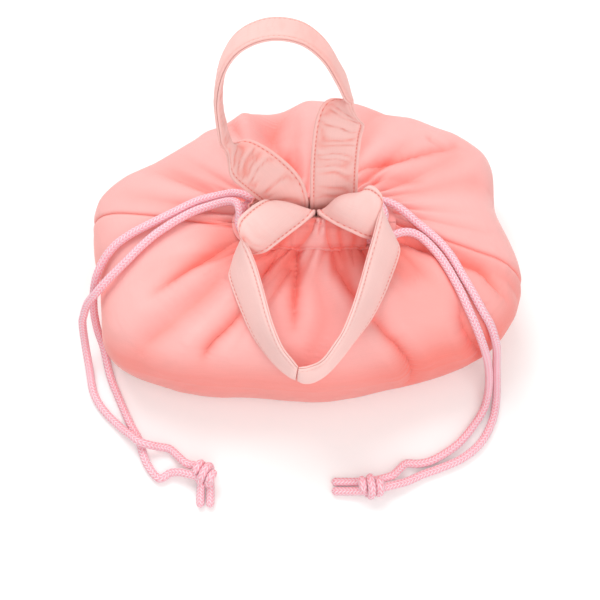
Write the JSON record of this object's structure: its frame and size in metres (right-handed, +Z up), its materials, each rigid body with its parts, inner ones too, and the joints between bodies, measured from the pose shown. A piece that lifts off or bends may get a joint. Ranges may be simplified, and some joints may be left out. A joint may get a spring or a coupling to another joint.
{
  "type": "bento bag",
  "caption": "Soft padded lunch bag with a gathered drawstring mouth, looped strap handles and knotted braided drawcords.",
  "frame": {"origin": "on the floor plane of the base, directly under the middle of the gathered mouth", "axes": "+X along the bag's length to the right as seen from the front, +Y to the back, +Z up out of the mouth"},
  "size_m": [0.2662, 0.2609, 0.1908],
  "materials": {
    "shell_cloth": "matt salmon pink cloth, gathered and puffed by the wadding",
    "handle_cloth": "matt pale peach pink cloth with topstitched edges",
    "lining_cloth": "smooth thin lining",
    "wadding": "soft filling",
    "cord_braid": "round braided cord with a slight sheen"
  },
  "bodies": {
    "bag": {"outer_front_panel": "shell_cloth", "outer_back_panel": "shell_cloth", "outer_base_panel": "shell_cloth", "wadding_front": "wadding", "wadding_back": "wadding", "wadding_base": "wadding", "lining_front": "lining_cloth", "lining_back": "lining_cloth", "lining_base": "lining_cloth", "casing_front": "shell_cloth", "casing_back": "shell_cloth", "handle_front_root_left": "handle_cloth", "handle_front_root_right": "handle_cloth", "handle_back_root_left": "handle_cloth", "handle_back_root_right": "handle_cloth", "drawcord_left_bight": "cord_braid", "drawcord_right_bight": "cord_braid"},
    "handle_front": {"handle_front_outer": "handle_cloth", "handle_front_facing": "handle_cloth"},
    "handle_back": {"handle_back_outer": "handle_cloth", "handle_back_facing": "handle_cloth"},
    "drawcord_left": {"drawcord_left_front": "cord_braid", "drawcord_left_back": "cord_braid", "drawcord_left_knot": "cord_braid"},
    "drawcord_right": {"drawcord_right_front": "cord_braid", "drawcord_right_back": "cord_braid", "drawcord_right_knot": "cord_braid"}
  },
  "joints": [
    {"name": "handle_front_fold", "type": "hinge", "parent": "bag", "child": "handle_front", "pos_m": [0, -0.0298, 0.10373], "axis": [-1, 0, 0], "range_deg": [0, 105]},
    {"name": "handle_back_fold", "type": "hinge", "parent": "bag", "child": "handle_back", "pos_m": [-0.003, 0.0038, 0.08973], "axis": [1, 0, 0], "range_deg": [-65, 8]},
    {"name": "drawcord_left_pull", "type": "slide", "parent": "bag", "child": "drawcord_left", "axis": [-1, 0, 0], "range_m": [0, 0.015]},
    {"name": "drawcord_right_pull", "type": "slide", "parent": "bag", "child": "drawcord_right", "axis": [1, 0, 0], "range_m": [0, 0.015]}
  ]
}
